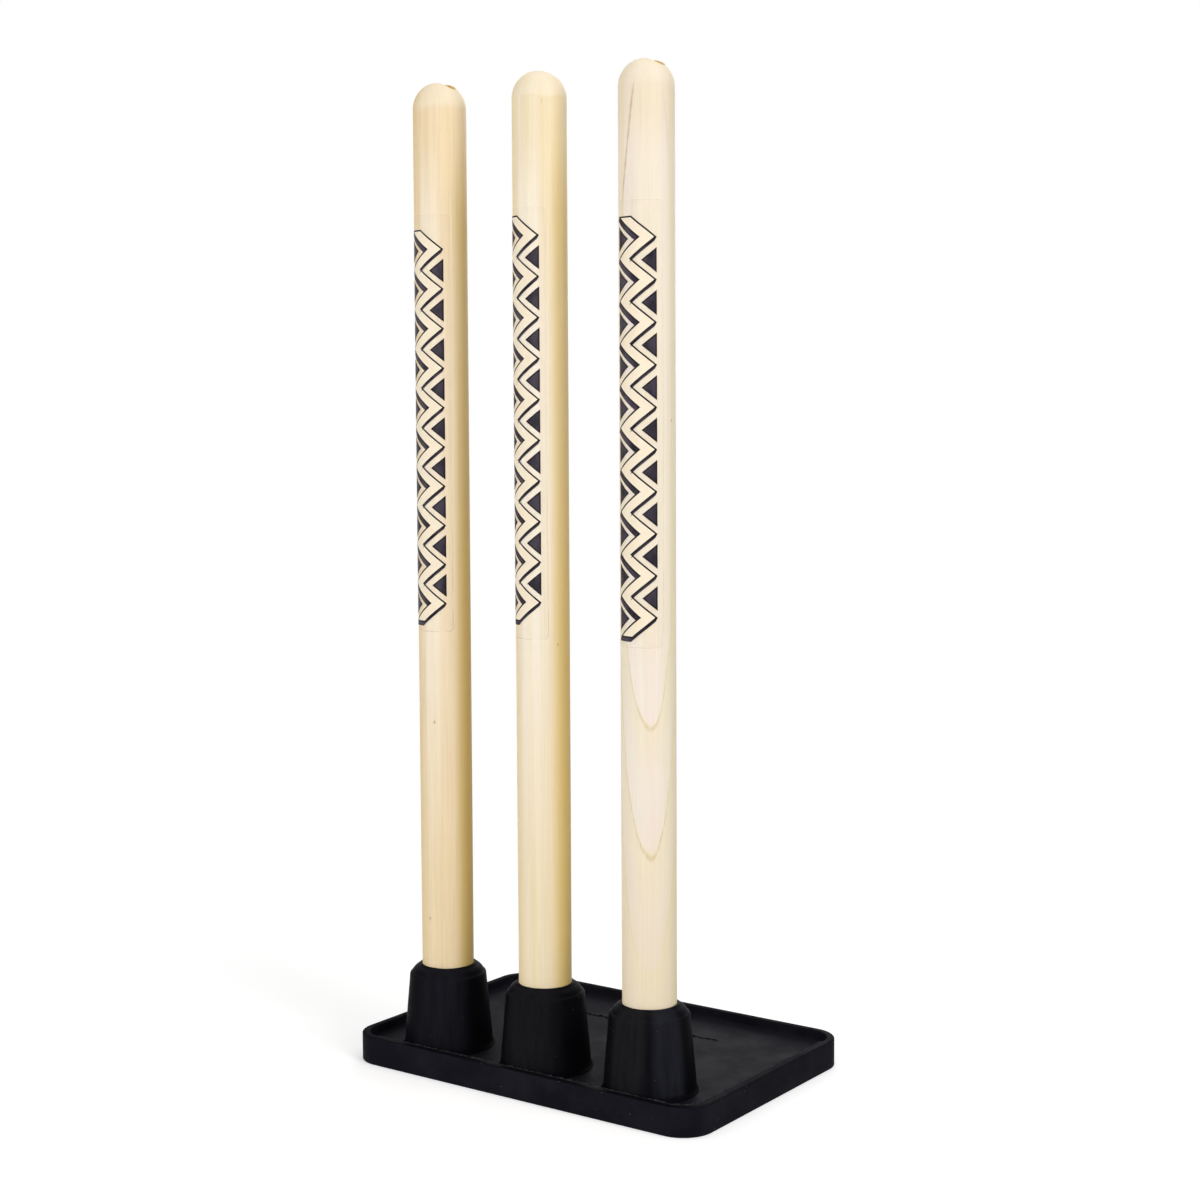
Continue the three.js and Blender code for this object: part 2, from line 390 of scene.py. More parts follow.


# Rubber: cloudy mottling, a dry bloom on low upward faces, painted shade on high upward faces such as the
# rim top, dust specks and a fine moulded grain
def makeRubberGroup():
    group, given, place, out = startGroup(
        "rubberSkin",
        {"Color": "Black Worn Bloom", "Float": "BloomAmount BloomHeight SpeckAmount"},
        {"Color": "Color", "Float": "Smears Height"},
    )
    clouds = noise(group, place, 34.0, 4.0, 0.6)
    smears = noise(group, place, (30, 30, 160), 3.0, 0.6)
    normal = group.nodes.new("ShaderNodeNewGeometry").outputs["Normal"]
    upShare = ramped(group, heightOf(group, normal), 0.5, 0.95)
    colour = blended(group, ramped(group, clouds, 0.35, 0.75, 0.0, 0.8), given["Black"], given["Worn"])
    bloomNoise = ramped(group, noise(group, place, 75.0, 5.0, 0.65), 0.25, 0.75, 0.45, 1.0)
    lowShare = calc(group, "LESS_THAN", heightOf(group, place), given["BloomHeight"])
    bloom = times(group, times(group, upShare, bloomNoise), given["BloomAmount"])
    bloom = times(group, bloom, lowShare)
    colour = blended(group, bloom, colour, given["Bloom"])
    # Painted shade: high upward faces, such as the rim top, are darkened against the light that falls on
    # them
    rimShadeShare = times(group, upShare, calc(group, "SUBTRACT", 1.0, lowShare))
    colour = blended(group, times(group, rimShadeShare, 0.7), colour, rimPaintedShade)
    cells = addNode(group, "ShaderNodeTexVoronoi", {"Vector": place, "Scale": 220.0})
    cellChance = addNode(group, "ShaderNodeSeparateColor", {0: cells.outputs["Color"]}).outputs[0]
    chosen = calc(group, "LESS_THAN", cellChance, given["SpeckAmount"])
    speck = times(group, ramped(group, cells.outputs["Distance"], 0.02, 0.07, 1.0, 0.0), chosen)
    colour = blended(group, speck, colour, dustSpeck)
    group.links.new(colour, out["Color"])
    group.links.new(ramped(group, smears, 0.25, 0.75), out["Smears"])
    fine = noise(group, place, 2600.0, 2.0)
    coarse = noise(group, place, 260.0, 3.0)
    relief = calc(group, "ADD", times(group, fine, 0.35), coarse)
    group.links.new(calc(group, "ADD", relief, speck), out["Height"])
    return group


woodGrain = makeWoodGroup()
sideBand = makeSideGroup()
grainLine = makeLineGroup()
knot = makeKnotGroup()
rubberSkin = makeRubberGroup()
print("material groups built")

# Stump: a turned stick with a dome, a tool mark under the dome and a half-round bail groove
stump = {
    "foot": stumpFoot,
    "footRadius": 18.75 * mm,
    "topRadius": 19.05 * mm,
    "topHeight": 711.1 * mm,
    "footRound": 1.0 * mm,
    "ridge": 0.03 * mm,
    "markDepth": 0.03 * mm,
    "markWidth": 0.6 * mm,
    "grooveRadius": 6.0 * mm,
    "grooveDepth": 6.0 * mm,
    "grooveEdge": 0.5 * mm,
    "grooveTurn": {"left": 0, "middle": 25, "right": 0},
    "steps": 96,
    "domeSteps": 20,
    "lengthSteps": 24,
}
stump["domeBase"] = stump["topHeight"] - stump["topRadius"]
stump["grooveHeight"] = stump["topHeight"] - stump["grooveDepth"] + stump["grooveRadius"]


def stumpRadiusAt(height):
    share = (height - stump["foot"]) / (stump["domeBase"] - stump["foot"])
    return stump["footRadius"] + (stump["topRadius"] - stump["footRadius"]) * share


def onStump(side, degrees, height):
    return stumpAxis[side] + towards(degrees) * stumpRadiusAt(height) + Vector((0, 0, height))


def stumpOutline():
    foot = stump["foot"]
    base = stump["domeBase"]
    low = base - 2 * stump["markWidth"]
    footRound = stump["footRound"]
    outline = [(0, foot)]
    outline += arc((stump["footRadius"] - footRound, foot + footRound), footRound, -90, 0, 4)
    for i in range(1, stump["lengthSteps"]):
        height = foot + (low - foot) * i / stump["lengthSteps"]
        outline.append((stumpRadiusAt(height), height))
    outline.append((stumpRadiusAt(low), low))
    outline.append((stump["topRadius"] - stump["markDepth"], low + 0.5 * stump["markWidth"]))
    outline.append((stump["topRadius"] + stump["ridge"], low + 1.3 * stump["markWidth"]))
    outline += arc((0, base), stump["topRadius"], 0, 90, stump["domeSteps"])
    return outline


def makeStumpPattern():
    piece = spun("stumpPattern", stumpOutline(), stump["steps"])
    drilled(piece, stump["grooveRadius"], 3 * stump["topRadius"], (0, 0, stump["grooveHeight"]),
            (0, math.pi / 2, 0))
    applied(piece, "BEVEL", width=stump["grooveEdge"], segments=2, limit_method="ANGLE",
            angle_limit=math.radians(38))
    smoothed(piece, 42)
    return piece


# The look of each stump, with angles turned from the front to the right
# bands of painted shade (gold) and painted highlight (pale): tint, angle, half widths full and faded,
# amounts at the foot, in the middle and at the top
# knots: angle, height, radius, length, amount
# lines: angle and height at the top and at the foot, width, amount
woods = {
    "left": {
        "name": "tanWood", "slot": "tan_wood",
        "light": (0.88, 0.76, 0.58, 1), "blush": (0.88, 0.735, 0.55, 1),
        "gold": (0.64, 0.44, 0.12, 1), "dark": (0.46, 0.29, 0.12, 1),
        "foot": (0.80, 0.62, 0.36, 1), "footAmount": 0.72, "footTop": 0.48, "headFrom": 0.52,
        "paintedHighlight": (0.93, 0.87, 0.76, 1),
        "pith": (0.040, 0.052, 0), "lean": (0.008, 0.010, 0), "leanTop": 0.7,
        "ringSpacing": 3.4 * mm, "ringDepth": 0.10, "ringFrom": 0.55, "ringPeak": 0.94, "ringShade": 0.0,
        "domeHighlightAmount": 0.42, "domeHighlightSoft": 3.0 * mm,
        "bands": [
            ("gold", 116, 18, 64, 0.95, 0.70, 0.05), ("gold", -60, 20, 55, 0.36, 0.34, 0.46),
            ("paintedHighlight", 11, 4, 26, 0.05, 0.42, 0.0),
        ],
        "knots": [(14.4, 0.254, 0.7 * mm, 1.4, 0.75), (-2.9, 0.110, 0.6 * mm, 2.0, 0.75)],
        "lines": [],
    },
    "middle": {
        "name": "yellowWood", "slot": "yellow_wood",
        "light": (0.88, 0.79, 0.64, 1), "blush": (0.89, 0.775, 0.63, 1),
        "gold": (0.77, 0.55, 0.17, 1), "dark": (0.50, 0.33, 0.14, 1),
        "foot": (0.82, 0.68, 0.42, 1), "footAmount": 0.7, "footTop": 0.48, "headFrom": 0.52,
        "paintedHighlight": (0.94, 0.88, 0.79, 1),
        "pith": (-0.050, 0.045, 0), "lean": (0.004, 0.006, 0), "leanTop": 0.7,
        "ringSpacing": 4.2 * mm, "ringDepth": 0.08, "ringFrom": 0.55, "ringPeak": 0.94, "ringShade": 0.0,
        "domeHighlightAmount": 0.42, "domeHighlightSoft": 1.2 * mm,
        "bands": [
            ("gold", 112, 20, 68, 0.92, 0.66, 0.10), ("gold", -60, 20, 55, 0.20, 0.20, 0.14),
            ("paintedHighlight", 10, 6, 30, 0.05, 0.42, 0.0),
        ],
        "knots": [(70.7, 0.3157, 0.5 * mm, 1.2, 0.75), (42, 0.688, 0.3 * mm, 6.0, 0.25)],
        "lines": [],
    },
    "right": {
        "name": "paleWood", "slot": "pale_wood",
        "light": (0.855, 0.775, 0.68, 1), "blush": (0.86, 0.75, 0.665, 1),
        "gold": (0.81, 0.71, 0.44, 1), "dark": (0.62, 0.48, 0.22, 1),
        "foot": (0.80, 0.68, 0.52, 1), "footAmount": 0.9, "footTop": 0.26, "headFrom": 0.64,
        "pith": (-0.03345, 0.04886, 0), "lean": (-0.02022, 0.02954, 0), "leanTop": 0.33,
        "ringSpacing": 8.94 * mm, "ringDepth": 0.90, "ringFrom": 0.925, "ringPeak": 0.965, "ringShade": 0.42,
        "domeHighlightAmount": 0.30, "domeHighlightSoft": 4.0 * mm,
        "bands": [("gold", 118, 20, 60, 0.42, 0.32, 0.02), ("gold", -60, 20, 62, 0.15, 0.15, 0.12)],
        "knots": [(91.8, 0.471, 0.6 * mm, 1.3, 0.75)],
        "lines": [(10, 0.697, -28, 0.605, 1.5 * mm, 0.75), (68, 0.690, 88, 0.640, 0.9 * mm, 0.2)],
    },
}
grainInputs = (
    "light blush gold dark foot footAmount footTop headFrom pith lean leanTop "
    "ringSpacing ringDepth ringFrom ringPeak ringShade"
)
grainMark = (0.54, 0.37, 0.19, 1)
knotDark = (0.16, 0.09, 0.04, 1)
woodFinish = {"Specular IOR Level": 0.25, "Coat Weight": 0.06, "Coat Roughness": 0.4}
woodRelief = 0.06 * mm
# Heights between which a painted band goes from its foot amount to its middle one, and then to its top one
paintedBandFoot = {"gold": (0.25, 0.60), "paintedHighlight": (0.12, 0.34)}
paintedBandHead = (0.60, 0.69)
groove = {
    "bare": (0.78, 0.54, 0.21, 1),
    "burnt": (0.50, 0.29, 0.085, 1),
    "fade": (0.05 * mm, 0.3 * mm),
}
# The dome is paler on one side, a painted highlight where the side lamps light it most
domeHighlight = {
    "colour": (0.88, 0.79, 0.64, 1),
    "degrees": 75,
    "across": (-12 * mm, 10 * mm),
    "wander": 1.8 * mm,
}


# Bare, darker wood inside the bail groove
def grooveColours(tree, side, place):
    centre = stumpAxis[side] + Vector((0, 0, stump["grooveHeight"]))
    local = vectorCalc(tree, "SUBTRACT", place, centre)
    across = vectorCalc(tree, "DOT_PRODUCT", local, towards(stump["grooveTurn"][side]))
    flat = addNode(tree, "ShaderNodeCombineXYZ", {0: across, 1: heightOf(tree, local)}).outputs[0]
    low, high = (stump["grooveRadius"] + distance for distance in groove["fade"])
    inside = ramped(tree, vectorCalc(tree, "LENGTH", flat), low, high, 1.0, 0.0)
    cutMarks = ramped(tree, noise(tree, place, (1400, 1400, 200), 2.0), 0.3, 0.7)
    return inside, blended(tree, cutMarks, groove["bare"], groove["burnt"])


def domeHighlightShare(tree, place, axis, height, look):
    local = vectorCalc(tree, "SUBTRACT", place, axis)
    across = vectorCalc(tree, "DOT_PRODUCT", local, towards(domeHighlight["degrees"]))
    amount = ramped(tree, across, *domeHighlight["across"], 0.0, look["domeHighlightAmount"])
    wander = noise(tree, place, (60, 60, 0), 1.0)
    wander = ramped(tree, wander, 0.2, 0.8, -domeHighlight["wander"], domeHighlight["wander"], smooth=False)
    above = calc(tree, "SUBTRACT", calc(tree, "ADD", height, wander), stump["domeBase"])
    return times(tree, amount, ramped(tree, above, -look["domeHighlightSoft"], look["domeHighlightSoft"]))


def makeWood(side):
    look = woods[side]
    material, tree, shader, place = startMaterial(look["name"])
    axis = stumpAxis[side]
    grain = useGroup(tree, woodGrain, place, {"Axis": axis, **inputsFrom(look, grainInputs)})
    colour = grain["Color"]
    height = heightOf(tree, place)
    # Painted shade and highlight: gold bands darken the sides that the neighbouring stumps and the limbs
    # shade, most towards the foot, and the pale band lightens the side facing the key lamp
    for tint, degrees, inner, outer, footAmount, midAmount, topAmount in look["bands"]:
        mask = sideMask(tree, place, side, degrees, inner, outer)
        lower = ramped(tree, height, *paintedBandFoot[tint], footAmount - midAmount, 0.0)
        share = calc(tree, "ADD", lower, ramped(tree, height, *paintedBandHead, midAmount, topAmount))
        colour = blended(tree, times(tree, mask, share), colour, look[tint])
    # Painted highlight on the dome's side facing the side lamps
    colour = blended(tree, domeHighlightShare(tree, place, axis, height, look), colour, domeHighlight["colour"])
    for topAngle, topHeight, footAngle, footHeight, width, amount in look["lines"]:
        line = useGroup(tree, grainLine, place, {
            "Axis": axis, "TopAngle": math.radians(topAngle), "TopHeight": topHeight,
            "FootAngle": math.radians(footAngle), "FootHeight": footHeight, "Width": width,
        })["Mask"]
        colour = blended(tree, times(tree, line, amount), colour, grainMark)
    for degrees, spotHeight, radius, length, amount in look["knots"]:
        centre = onStump(side, degrees, spotHeight)
        spot = useGroup(tree, knot, place, {"Centre": centre, "Radius": radius, "Length": length})
        colour = blended(tree, times(tree, spot["Halo"], 0.24 * amount), colour, look["dark"])
        colour = blended(tree, times(tree, spot["Dot"], amount), colour, knotDark)
    inGroove, bareWood = grooveColours(tree, side, place)
    fill(tree, shader, {
        "Base Color": blended(tree, inGroove, colour, bareWood),
        "Roughness": calc(tree, "MAXIMUM", grain["Roughness"], times(tree, inGroove, 0.7)),
        "Normal": bumped(tree, grain["Height"], woodRelief),
        **woodFinish,
    })
    return material


stumpPattern = makeStumpPattern()
stumps = {}
for side in sides:
    piece = placedCopy(stumpPattern, side + "StumpTurned", side, stump["grooveTurn"][side])
    piece.data.materials.append(makeWood(side))
    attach(piece, side + "_stump_body")
    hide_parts(side + "_stump")
    stumps[side] = piece
removePiece(stumpPattern)
print("stumps turned")

# Tray: a rubber slab with a raised rim, a rounded inner foot, a seat under each stump and moulding flash
tray = {
    "corner": 23.0 * mm,
    "rimWidth": 5.5 * mm,
    "rimHeight": 7.0 * mm,
    "edgeRound": 1.0 * mm,
    "innerEdgeRound": 0.5 * mm,
    "innerFootRound": 1.8 * mm,
    "seatRadius": 19.1 * mm,
    "seatHeight": stumpFoot,
    "flashWidth": 1.1 * mm,
    "flashRise": 0.1 * mm,
    "flashWander": 0.8 * mm,
    "flashStep": 1.7 * mm,
    "flashSkin": (0.014, 0.013, 0.016, 1),
    "flashDust": (0.036, 0.034, 0.039, 1),
    "flashRelief": 0.15 * mm,
    "tearPlace": 53.6 * mm,
    "tearEnds": (-60 * mm, 71 * mm),
    "tearRise": 1.2 * mm,
    "tearWander": 1.3 * mm,
    "tearStep": 1.5 * mm,
    "black": (0.0070, 0.0066, 0.0100, 1),
    "worn": (0.0136, 0.0128, 0.0176, 1),
    "bloom": (0.0092, 0.0084, 0.0112, 1),
    "bloomAmount": 0.8,
    "bloomHeight": 16.0 * mm,
    "speckAmount": 0.22,
    "gloss": 0.0095,
    "rimGloss": 0.006,
    "roughness": (0.46, 0.62),
    "relief": 0.08 * mm,
}


def roundedSlab(name, width, depth, bottom, top, corner):
    middle = (0, 0, (bottom + top) / 2)
    bpy.ops.mesh.primitive_cube_add(size=1, location=middle, scale=(width, depth, top - bottom))
    piece = freeze(bpy.context.object, name)
    startEdit(piece)
    pick("EDGE", lambda edge: abs(edge.verts[0].co.z - edge.verts[1].co.z) > 0.5 * (top - bottom))
    bpy.ops.mesh.bevel(offset=corner, segments=14, affect="EDGES")
    endEdit()
    return piece


def facesOut(edge, sign):
    middle = (edge.verts[0].co + edge.verts[1].co) / 2
    return any(abs(face.normal.z) < 0.1 and sign * face.normal.dot(Vector((middle.x, middle.y, 0))) > 0
               for face in edge.link_faces)


def level(edge, height):
    return all(abs(vert.co.z - height) < 0.01 * mm for vert in edge.verts)


def paintPicked(piece, slot):
    piece.active_material_index = slot
    bpy.ops.object.material_slot_assign()


def makeTray(materials):
    top = trayHigh.z
    floorHeight = top - tray["rimHeight"]
    piece = roundedSlab("trayMoulded", trayHigh.x - trayLow.x, trayHigh.y - trayLow.y,
                        trayLow.z, top, tray["corner"])
    startEdit(piece)
    pick("FACE", lambda face: face.normal.z > 0.9)
    bpy.ops.mesh.inset(thickness=tray["rimWidth"])
    extrude((0, 0, -tray["rimHeight"]))
    for height, sign, size, segments in (
        (top, 1, tray["edgeRound"], 4),
        (trayLow.z, 1, tray["edgeRound"], 3),
        (top, -1, tray["innerEdgeRound"], 3),
        (floorHeight, -1, tray["innerFootRound"], 4),
    ):
        pick("EDGE", lambda edge: level(edge, height) and facesOut(edge, sign))
        bpy.ops.mesh.bevel(offset=size, segments=segments, affect="EDGES")
    endEdit()
    depth = top - tray["seatHeight"]
    for side in sides:
        centre = stumpAxis[side] + Vector((0, 0, tray["seatHeight"] + depth / 2))
        drilled(piece, tray["seatRadius"], depth, centre)
    smoothed(piece, 35)
    for material in materials:
        piece.data.materials.append(material)
    startEdit(piece)
    pick("FACE", lambda face: face.normal.z > 0.3 and face.calc_center_median().z > top - tray["edgeRound"])
    paintPicked(piece, 1)
    endEdit()
    return piece


# The thin ragged skin that the mould leaves along the rim's inner edge
def makeFlash():
    top = trayHigh.z
    inset = tray["rimWidth"] + 0.1 * mm
    piece = roundedSlab("rimFlash", trayHigh.x - trayLow.x - 2 * inset, trayHigh.y - trayLow.y - 2 * inset,
                        top - 2 * mm, top - 0.15 * mm, tray["corner"] - inset)
    startEdit(piece)
    pick("FACE", lambda face: face.normal.z < 0.5)
    bpy.ops.mesh.delete(type="FACE")
    bpy.ops.mesh.select_mode(type="FACE")
    pickAll()
    bpy.ops.mesh.delete(type="ONLY_FACE")
    for cuts in (63, 15, 3, 1, 1):
        pick("EDGE", lambda edge: edge.calc_length() > (cuts + 0.6) * tray["flashStep"])
        bpy.ops.mesh.subdivide(number_cuts=cuts)
    pickAll()
    extrude((0, 0, tray["flashRise"]))
    draws = random.Random(7)
    mesh = bpy.context.edit_object.data
    shape = bmesh.from_edit_mesh(mesh)
    for vert in shape.verts:
        if vert.select:
            inward = Vector((-vert.co.x, -vert.co.y, 0)).normalized()
            vert.co += inward * (tray["flashWidth"] + draws.uniform(-1.0, 1.0) * tray["flashWander"])
            vert.co.z += draws.uniform(-0.3, 0.6) * tray["flashWander"]
    bmesh.update_edit_mesh(mesh)
    rear, leftEnd = trayHigh.y - tray["corner"], trayLow.x + tray["corner"]
    pick("VERT", lambda vert: vert.co.y > rear or vert.co.x < leftEnd)
    bpy.ops.mesh.delete(type="VERT")
    pickAll()
    bpy.ops.mesh.normals_make_consistent(inside=False)
    endEdit()
    applied(piece, "SOLIDIFY", thickness=0.3 * mm, offset=0.0)
    smoothed(piece, 40)
    return piece


# A low ragged lip of torn skin that crosses the tray's floor behind the cups
def makeTear():
    first, last = tray["tearEnds"]
    floorHeight = trayHigh.z - tray["rimHeight"]
    bpy.ops.mesh.primitive_plane_add(size=mm, location=(first, tray["tearPlace"], floorHeight - 0.1 * mm))
    piece = freeze(bpy.context.object, "floorTear")
    startEdit(piece)
    pickAll()
    bpy.ops.mesh.merge(type="CENTER")
    extrude((last - first, 0, 0))
    pickAll()
    bpy.ops.mesh.subdivide(number_cuts=int((last - first) / tray["tearStep"]))
    draws = random.Random(11)
    mesh = bpy.context.edit_object.data
    shape = bmesh.from_edit_mesh(mesh)
    drift = 0.0
    for vert in sorted(shape.verts, key=lambda vert: vert.co.x):
        drift = 0.8 * drift + draws.uniform(-0.6, 0.6) * tray["tearWander"]
        vert.co.y += drift
    bmesh.update_edit_mesh(mesh)
    pickAll()
    extrude((0, 0.1 * mm, tray["tearRise"]))
    shape = bmesh.from_edit_mesh(mesh)
    for vert in shape.verts:
        if vert.select:
            vert.co.z -= draws.uniform(0.0, 0.7) * tray["tearRise"]
    bmesh.update_edit_mesh(mesh)
    pickAll()
    bpy.ops.mesh.normals_make_consistent(inside=False)
    endEdit()
    applied(piece, "SOLIDIFY", thickness=0.35 * mm, offset=0.0)
    smoothed(piece, 40)
    return piece


# Cup: a tapered collar with a flared foot, a rounded shoulder and a bevel up to a thin lip
cup = {
    "bore": 19.1 * mm,
    "lipBore": 18.82 * mm,
    "lipOuter": 20.7 * mm,
    "wallFoot": 32.5 * mm,
    "shoulder": 28.0 * mm,
    "shoulderRound": 2.6 * mm,
    "bevelHeight": 7.2 * mm,
    "bevelBulge": 0.8 * mm,
    "flareWidth": 1.3 * mm,
    "flareHeight": 3.5 * mm,
    "flareEdge": 1.0 * mm,
    "unevenness": 0.5 * mm,
    "steps": 96,
    "wallSteps": 14,
    "black": (0.0026, 0.0024, 0.0038, 1),
    "worn": (0.0042, 0.0040, 0.0056, 1),
    "bloom": (0.016, 0.0148, 0.0178, 1),
    "bloomAmount": 0.5,
    "bloomHeight": 1.0,
    "speckAmount": 0.25,
    "gloss": 0.008,
    "roughness": (0.38, 0.50),
    "relief": 0.08 * mm,
    "paintedFootShade": (0.0022, 0.0020, 0.0030, 1),
    "paintedFootShadeHeight": 3.2 * mm,
    # Painted highlight bands on each cup: angle, half widths full and faded, colour
    "dusty": {
        "left": [(28, 14, 50, (0.0098, 0.0095, 0.0134, 1))],
        "middle": [(14, 12, 52, (0.0096, 0.0096, 0.0114, 1))],
        "right": [(3, 10, 34, (0.0118, 0.0118, 0.0130, 1)), (60, 8, 29, (0.0165, 0.0172, 0.0225, 1))],
    },
}


def cupOutline():
    floor, lip = cupLow.z, cupHigh.z
    shoulderHeight = lip - cup["bevelHeight"]
    bevelAngle = math.degrees(math.atan2(cup["shoulder"] - cup["lipOuter"], cup["bevelHeight"]))
    flareTop = floor + cup["flareHeight"]
    flareEdge = cup["wallFoot"] + cup["flareWidth"] - 0.4 * mm
    wallShare = cup["flareHeight"] / (shoulderHeight - floor)
    flareTopRadius = cup["wallFoot"] + (cup["shoulder"] - cup["wallFoot"]) * wallShare
    outline = [(cup["bore"], floor), (flareEdge, floor)]
    outline += arc((flareEdge, floor + 0.4 * cup["flareEdge"]), 0.4 * cup["flareEdge"], -60, 70, 4)
    outline.append((cup["wallFoot"] + 0.45 * cup["flareWidth"], floor + 0.42 * cup["flareHeight"]))
    outline.append((cup["wallFoot"] + 0.05 * cup["flareWidth"], floor + 0.68 * cup["flareHeight"]))
    outline.append((flareTopRadius, flareTop))
    wallTop = shoulderHeight - cup["shoulderRound"] / 2
    for i in range(1, cup["wallSteps"]):
        share = i / cup["wallSteps"]
        across = flareTopRadius + (cup["shoulder"] - flareTopRadius) * share
        outline.append((across, flareTop + (wallTop - flareTop) * share))
    shoulderRound = cup["shoulderRound"]
    outline += arc((cup["shoulder"] - shoulderRound, wallTop), shoulderRound, 0, 90 - bevelAngle / 2, 8)
    last = outline[-1]
    lipFoot = lip - 0.8 * mm
    for share in (0.2, 0.4, 0.6, 0.8):
        bulge = cup["bevelBulge"] * 4 * share * (1 - share) / math.sqrt(2)
        across = last[0] + (cup["lipOuter"] - last[0]) * share
        outline.append((across + bulge, last[1] + (lipFoot - last[1]) * share + bulge))
    outline += arc((cup["lipOuter"] - 0.6 * mm, lip - 0.6 * mm), 0.6 * mm, 10, 90, 4)
    outline += arc((cup["lipBore"] + 0.3 * mm, lip - 0.3 * mm), 0.3 * mm, 90, 180, 3)
    outline += [(cup["lipBore"], lip - 2 * mm), (cup["bore"], lip - 3 * mm), (cup["bore"], floor)]
    return outline


# Each cup gets painted highlights, streaky lighter bands on the sides turned to the lamps, and painted shade
# round its foot
def cupPaintedLight(tree, place, colour, side):
    streaks = noise(tree, place, (190, 190, 14), 3.0, 0.6)
    streaks = ramped(tree, streaks, 0.3, 0.7, 0.55, 1.0)
    for degrees, inner, outer, highlightColour in cup["dusty"][side]:
        mask = sideMask(tree, place, side, degrees, inner, outer)
        colour = blended(tree, times(tree, mask, streaks), colour, highlightColour)
    # Painted shade darkening the cup round its foot
    low = cupLow.z + 0.6 * cup["paintedFootShadeHeight"]
    footShare = ramped(tree, heightOf(tree, place), low, low + cup["paintedFootShadeHeight"], 0.85, 0.0)
    return blended(tree, footShare, colour, cup["paintedFootShade"])


def makeRubber(name, look, gloss, side=None):
    material, tree, shader, place = startMaterial(name)
    names = "black worn bloom bloomAmount bloomHeight speckAmount"
    skin = useGroup(tree, rubberSkin, place, inputsFrom(look, names))
    colour = skin["Color"]
    if side:
        colour = cupPaintedLight(tree, place, colour, side)
    fill(tree, shader, {
        "Base Color": colour,
        "Roughness": ramped(tree, skin["Smears"], 0.0, 1.0, *look["roughness"], smooth=False),
        "Specular IOR Level": gloss,
        "Normal": bumped(tree, skin["Height"], look["relief"]),
    })
    return material


# Torn rubber with dust caught in it
def makeFlashRubber():
    material, tree, shader, place = startMaterial("flashRubber")
    patches = noise(tree, place, 420.0, 3.0, 0.65)
    dusty = ramped(tree, patches, 0.38, 0.58)
    fill(tree, shader, {
        "Base Color": blended(tree, dusty, tray["flashSkin"], tray["flashDust"]),
        "Roughness": ramped(tree, patches, 0.2, 0.8, 0.6, 0.8),
        "Specular IOR Level": tray["rimGloss"],
        "Normal": bumped(tree, patches, tray["flashRelief"]),
    })
    return material


trayRubber = makeRubber("trayRubber", tray, tray["gloss"])
rimRubber = makeRubber("rimRubber", tray, tray["rimGloss"])
moulded = {"tray": makeTray([trayRubber, rimRubber]), "flash": makeFlash(), "tear": makeTear()}
moulded["flash"].data.materials.append(makeFlashRubber())
moulded["tear"].data.materials.append(rimRubber)
for piece in moulded.values():
    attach(piece, "base")
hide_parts("base_tray")

lumps = bpy.data.textures.new("cupLumps", "CLOUDS")
lumps.noise_scale = 0.016
lumps.noise_depth = 1
cupPattern = spun("cupPattern", cupOutline(), cup["steps"])
for side in sides:
    piece = placedCopy(cupPattern, side + "CupMoulded", side)
    applied(piece, "DISPLACE", texture=lumps, texture_coords="LOCAL",
            strength=cup["unevenness"], mid_level=0.5)
    smoothed(piece, 40)
    piece.data.materials.append(makeRubber(side + "CupRubber", cup, cup["gloss"], side))
    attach(piece, "base")
    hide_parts(side + "_cup")
removePiece(cupPattern)
print("tray and cups moulded")

# Label: a clear film with rounded corners, and a block-shaded zigzag ribbon printed on it
label = {
    "width": 40.0 * mm,
    "height": 297.0 * mm,
    "bottom": 319.5 * mm,
    "corner": 3.0 * mm,
    "cutStep": 1.25 * mm,
    "gap": 0.05 * mm,
    "thickness": 0.15 * mm,
    "relief": 0.02 * mm,
    "turn": {"left": -1, "middle": -11, "right": 8},
    "filmColour": (0.86, 0.80, 0.66, 1),
    "filmAlpha": 0.02,
    "edgeAlpha": 0.16,
    "upperEdges": 0.3,
    "edgeColour": (0.42, 0.30, 0.16, 1),
    "edgeWidth": 0.35 * mm,
}
printing = {
    "width": 30.5 * mm,
    "foot": 326.0 * mm,
    "lift": {"left": 0.0, "middle": 5.5 * mm, "right": 0.0},
    "arms": 20,
    "armRise": 14.0 * mm,
    "armWidth": 13.0 * mm,
    "outline": 1.1 * mm,
    "shade": (-1.4 * mm, 0, -2.6 * mm),
    "wedgeWidth": 10.4 * mm,
    "wedgeHeight": 16.6 * mm,
    "wedgeOutline": 0.9 * mm,
    "wedgeDrop": 1.1 * mm,
    "cutStep": 1.6 * mm,
    "inkThickness": 0.03 * mm,
    "inkLift": 0.01 * mm,
    "gloss": 0.1,
    "relief": 0.01 * mm,
    "ink": (0.006, 0.004, 0.007, 1),
    "inkSheen": (0.010, 0.007, 0.013, 1),
    "shadeInk": (0.050, 0.038, 0.056, 1),
    "fillInk": (0.88, 0.775, 0.60, 1),
    "fillEdge": (0.88, 0.755, 0.575, 1),
}


def cutUpright(piece, width, step):
    count = int(width / step)
    startEdit(piece)
    for i in range(1, count):
        pickAll()
        bpy.ops.mesh.bisect(plane_co=(-width / 2 + width * i / count, 0, 0), plane_no=(1, 0, 0))
    endEdit()


def bendRound(piece, radius):
    bpy.context.view_layer.update()
    angle = piece.dimensions.x / radius
    applied(piece, "SIMPLE_DEFORM", deform_method="BEND", deform_axis="Z", angle=angle)
    piece.location = (0, -radius, 0)
    return freeze(piece, piece.name)


